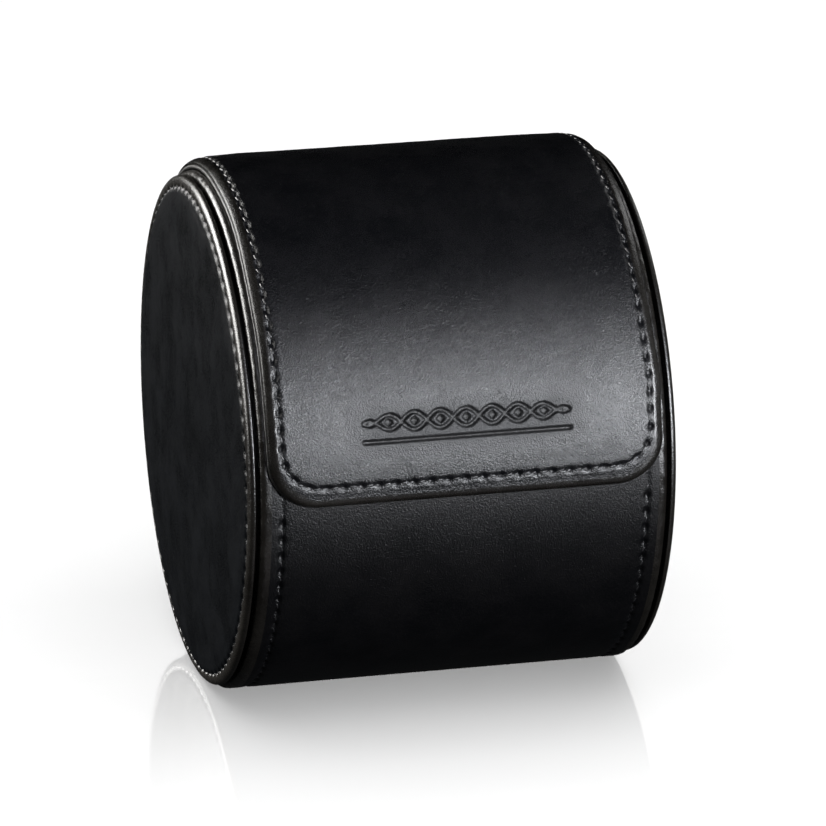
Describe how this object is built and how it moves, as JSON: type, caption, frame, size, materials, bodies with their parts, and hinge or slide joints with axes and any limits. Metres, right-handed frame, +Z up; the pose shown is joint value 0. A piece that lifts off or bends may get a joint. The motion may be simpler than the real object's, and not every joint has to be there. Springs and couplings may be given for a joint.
{
  "type": "single watch travel case",
  "caption": "Drum-shaped leather travel case for one watch: stiff round body, padded end caps, a hinged flap over the top and front, and a cushion inside.",
  "frame": {"origin": "centre of the flat under the drum, where the case stands", "axes": "+Z up, -Y the front that the flap comes down over, X along the drum's axis, between the two end caps"},
  "size_m": [0.0754, 0.0922, 0.0895],
  "materials": {
    "case_leather": "smooth black full-grain leather, satin",
    "flap_lining_leather": "smooth black lining leather",
    "thread": "waxed black polyester thread",
    "velour_lining": "charcoal velour",
    "cushion_suede": "charcoal microsuede",
    "stiffener_board": "grey bookbinder's board",
    "foam": "open-cell foam",
    "magnet_rubber": "flexible magnetic strip",
    "keeper_steel": "tinned steel strip"
  },
  "bodies": {
    "case_body": {"shell_leather": "case_leather", "shell_board": "stiffener_board", "shell_lining": "velour_lining", "keeper_strip": "keeper_steel", "lip_seam": "thread", "left_shell_seam": "thread", "right_shell_seam": "thread", "flap_tail": "case_leather", "tail_seam": "thread", "cushion_core": "foam", "cushion_cover": "cushion_suede", "left_cushion_end": "cushion_suede", "right_cushion_end": "cushion_suede", "left_cap_board": "stiffener_board", "left_cap_lining": "velour_lining", "left_cap_padding": "foam", "left_cap_leather": "case_leather", "left_cap_seam": "thread", "left_gusset": "case_leather", "right_cap_board": "stiffener_board", "right_cap_lining": "velour_lining", "right_cap_padding": "foam", "right_cap_leather": "case_leather", "right_cap_seam": "thread", "right_gusset": "case_leather"},
    "flap": {"flap_leather": "case_leather", "flap_board": "stiffener_board", "flap_lining": "flap_lining_leather", "flap_magnet": "magnet_rubber", "flap_seam": "thread"}
  },
  "joints": [
    {"name": "flap_hinge", "type": "hinge", "parent": "case_body", "child": "flap", "pos_m": [0, 0.03997, 0.06648], "axis": [-1, 0, 0], "range_deg": [0, 150]}
  ]
}
